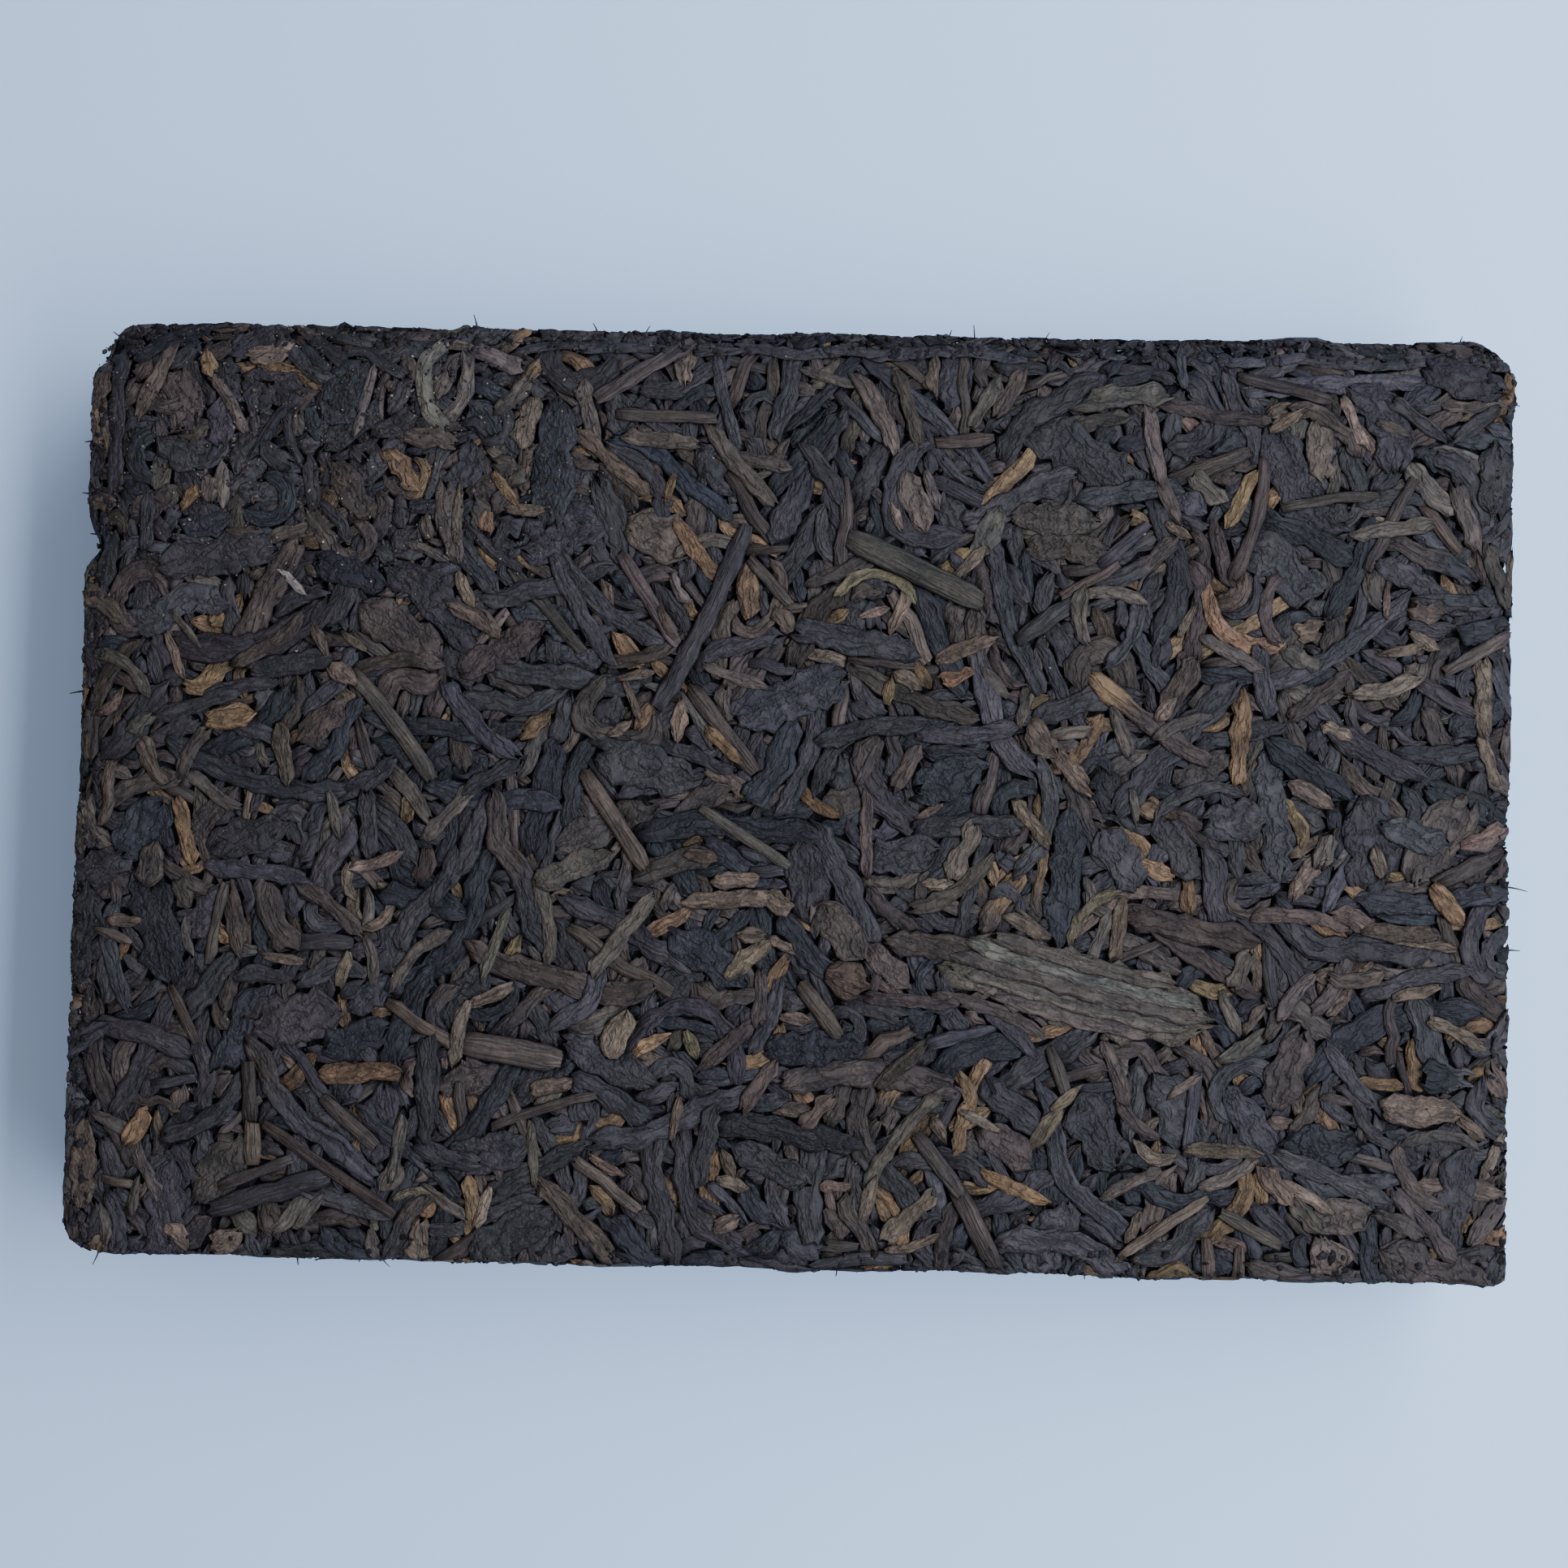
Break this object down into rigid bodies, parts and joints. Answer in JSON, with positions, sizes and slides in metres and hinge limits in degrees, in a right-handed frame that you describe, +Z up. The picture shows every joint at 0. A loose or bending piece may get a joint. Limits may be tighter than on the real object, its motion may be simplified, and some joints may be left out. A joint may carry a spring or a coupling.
{
  "type": "pu erh tea brick",
  "caption": "Rectangular brick of ripe pu erh tea, a flat block of tightly pressed dark leaves, stems and golden tips, with crumbled rims.",
  "frame": {"origin": "middle of the underside that the brick lies on", "axes": "+Z up, out of the pressed upper face; +X along the brick's length; +Y towards the worn back edge"},
  "size_m": [0.15, 0.099, 0.021],
  "materials": {
    "pressed_leaf": "matt dark brown to black pressed tea leaves",
    "golden_tip": "matt golden brown leaf buds",
    "tea_stem": "matt reddish brown twigs with fine grain"
  },
  "bodies": {
    "root": {"tea_brick": "pressed_leaf"}
  },
  "joints": []
}
